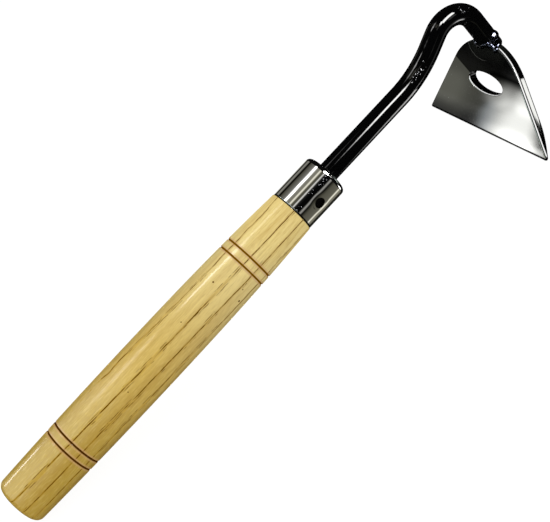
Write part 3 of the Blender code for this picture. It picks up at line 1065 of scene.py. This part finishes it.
# A patch's angle, half width and soft edge in degrees; where along the tent it starts, is full,
# fades and ends, in metres; its lean in degrees per metre; and its brightness
patches = {
    white: [
        # The windows that the neck mirrors: the main one, the top one and the low ones, in parts
        (-41, 7, 3, 0.29, 0.365, 0.385, 0.405, 25, 25),
        (-49, 9, 4, 0.385, 0.405, 0.68, 0.75, 25, 25),
        (7, 5.5, 3, 0.18, 0.2, 0.215, 0.245, 0, 6.5),
        (6, 2.6, 3, 0.215, 0.245, 0.275, 0.345, -120, 2.2),
        (7, 2, 3, 0.215, 0.235, 0.27, 0.298, 0, 1.6),
        (-151, 8, 6, 0.285, 0.4, 0.41, 0.455, 170, 6.5),
        (-148, 10, 10, 0.41, 0.43, 0.48, 0.53, 0, 0.4),
        # What the blade's side wall and its rounded rim mirror
        (-90, 4, 2, 0.768, 0.774, 0.832, 0.838, 0, 1.4),
        (-74, 8, 3, 0.46, 0.5, 0.62, 0.66, -76, 0.8),
        # The bright part of what the flat blade mirrors, from its bottom edge up to its tip
        (99.2, 1.4, 0.6, -0.25, -0.2, 0.05, 0.1, 0, 0.03),
        (98.2, 2.6, 1.6, -0.197, -0.166, -0.135, -0.085, 0, 0.65),
        (93.6, 0.3, 3, -0.25, -0.2, -0.125, -0.1, 0, 0.3),
        (95.3, 0.5, 1.3, -0.14, -0.118, -0.108, -0.084, 0, 0.35),
        (94.2, 1.2, 1.5, -0.25, -0.2, -0.15, -0.128, 0, 0.72),
        (100.2, 0.5, 1.6, -0.2, -0.183, -0.139, -0.08, 0, 0.7),
        (98.7, 1.7, 2.4, -0.197, -0.166, -0.148, -0.105, 0, 0.65),
        (100.4, 0.4, 0.4, -0.22, -0.2, -0.16, -0.14, 0, 1.2),
        # Gleams on the lacquer
        (9, 3, 4, 0.1, 0.15, 0.19, 0.2, 0, 2.2),
        (53, 2, 2, -0.135, -0.12, -0.065, -0.055, 0, 9),
        (9, 2, 10, -0.02, 0.02, 0.07, 0.1, 0, 2.5),
        (9.5, 1, 2.5, 0.11, 0.14, 0.185, 0.2, 0, 7),
    ],
    olive: [
        # The dull part of what the flat blade mirrors
        (95.1, 2.1, 2.4, -0.25, -0.2, 0.05, 0.1, 0, 0.056),
        (95.4, 2.5, 2.9, -0.1, -0.06, 0.05, 0.1, 0, 0.04),
        (96.3, 1.2, 1.6, -0.075, -0.05, 0.05, 0.1, 0, 0.05),
    ],
    blue: [(98.4, 1.6, 1.4, -0.125, -0.108, -0.105, -0.088, 0, 0.1)],
    pale_green: [(0, 6, 84, -0.6, -0.5, 0, 0.09, 0, 1.8)],
}

# %% Bands that the ferrule mirrors
band_window = (0.222, 0.238, 0.287, 0.293)
# Angle and brightness at each change, and how warm the light is
bands = [(-180, 0.16, 1), (-163, 0.27, 1), (-155, 1.08, 0.7), (-147, 0.14, 1), (-112, 0.095, 1.1),
         (-104, 0.05, 1.2), (-97, 0.004, 1), (-93, 0.02, 0.5), (-86, 0.38, 0.3), (-82.5, 0.21, 0.3),
         (-78.5, 0.002, 0), (-60, 0.002, -0.5), (-48.5, 0.015, 0), (-42.5, 0.85, 0.2),
         (-38, 0.1, 0.8), (-29, 0.085, 1.6), (-21.5, 1.05, 0.7), (-16, 0.24, 0.9), (-5, 0.22, 0.8),
         (-1, 0.6, 0.3), (3, 1.1, 0.1), (11, 1.1, 0.1), (17.5, 0.19, 0.4), (43, 0.075, 1.1),
         (49, 0.001, 1), (58, 0.003, 1.5), (67, 0.27, 0.6), (75, 0.24, 0.6), (85, 0.006, 1),
         (93, 0.012, 1), (118, 0.8, 0.5), (134, 0.02, 1)]
less_green, less_blue = 0.03, 0.24


# %% Tent cloth
def patch_light(x, turn, angle, half, edge, start, full, fade, end, slope, strength):
    """How bright one patch makes the cloth. The patch narrows towards its ends."""
    ends = between(x, start, full, fade, end)
    middle = calc("MINIMUM", x - full, 0.0) * slope + angle
    return step(abs(turn - middle) - ends * half, edge, 0.0) * ends * strength


def band_light(x, turn):
    """The bands that the ferrule mirrors, as a colour."""
    ramp = add(x.tree, "ValToRGB", {0: turn / 360 + 0.5})
    stops = ramp.color_ramp.elements
    stops.remove(stops[-1])
    for k, (angle, level, warmth) in enumerate(bands):
        place = (angle + 180) / 360
        stop = stops.new(place) if k else stops[0]
        stop.position = place
        stop.color = (level, level * (1 - less_green * warmth), level * (1 - less_blue * warmth), 1)
    return layered(unlit_cloth, (between(x, *band_window), Wire(ramp.outputs[0])))


def tent_look(place):
    """Black cloth that glows where it is lit."""
    x, y, z = split(place)
    turn = calc("DEGREES", calc("ARCTAN2", y, z))
    light = band_light(x, turn)
    for tint, rows in patches.items():
        for row in rows:
            glow = patch_light(x, turn, *row)
            light = vector_calc("MULTIPLY_ADD", glow, tint, light, output="Vector")
    return {"Emission Color": light, "Emission Strength": 1.0, "Base Color": (0, 0, 0),
            "Specular IOR Level": 0.0}


tent = as_object("light_tent", turned([(tent_start, tent_radius), (tent_end, tent_radius)], 180))
cloth = new_material("tent_cloth", tent_look)
cloth.cycles.emission_sampling = "NONE"
tent.data.materials.append(cloth)
for ray in ("camera", "diffuse", "shadow", "transmission", "volume_scatter"):
    setattr(tent, "visible_" + ray, False)
print("tent: %d lit patches, %d bands" % (sum(map(len, patches.values())), len(bands)))

# %% Room light for rough surfaces
world = bpy.data.worlds.new("room")
scene.world = world
world.use_nodes = True
room = world.node_tree
room.nodes.clear()
height = split(out(room, "TexCoord", output="Generated"))[2]
straight = out(room, "LightPath", output="Is Camera Ray")
tone = layered((0.8, 0.8, 0.81), (step(height, -0.6, 0.9), (0.97, 0.97, 0.97)),
               (straight, (1.0, 1.0, 1.0)))
add(room, "OutputWorld", {0: out(room, "Background", {0: tone})})
world.cycles.sampling_method = "NONE"
print("room light: white above, grey below")

# %% [markdown]
# ## Camera
#
# The camera looks down on the hoe from the front left of its grip and is rolled, so that the grip
# rises steeply to the right in the picture. Its direction is given by three angles.

# %% Camera
camera_heading = radians(11.815)
camera_dip = radians(37.667)
camera_roll = radians(-32.815)
camera_target = Vector((0.005259, 0, 0.025847))
camera_distance = 0.59212
level = Vector((cos(camera_heading), -sin(camera_heading), 0))
north = Vector((sin(camera_heading), cos(camera_heading), 0))
ahead = north * cos(camera_dip) - Vector((0, 0, sin(camera_dip)))
right = level * cos(camera_roll) + level.cross(ahead) * sin(camera_roll)
camera = linked("camera", tuned(bpy.data.cameras.new("camera"), sensor_width=36, lens=76.298))
camera.matrix_world = (Matrix.Translation(camera_target - ahead * camera_distance)
                       @ Matrix((right, right.cross(ahead), -ahead)).transposed().to_4x4())
scene.camera = camera
scene.view_settings.view_transform = "Standard"
print("camera stands at", [round(c, 3) for c in camera.matrix_world.translation])
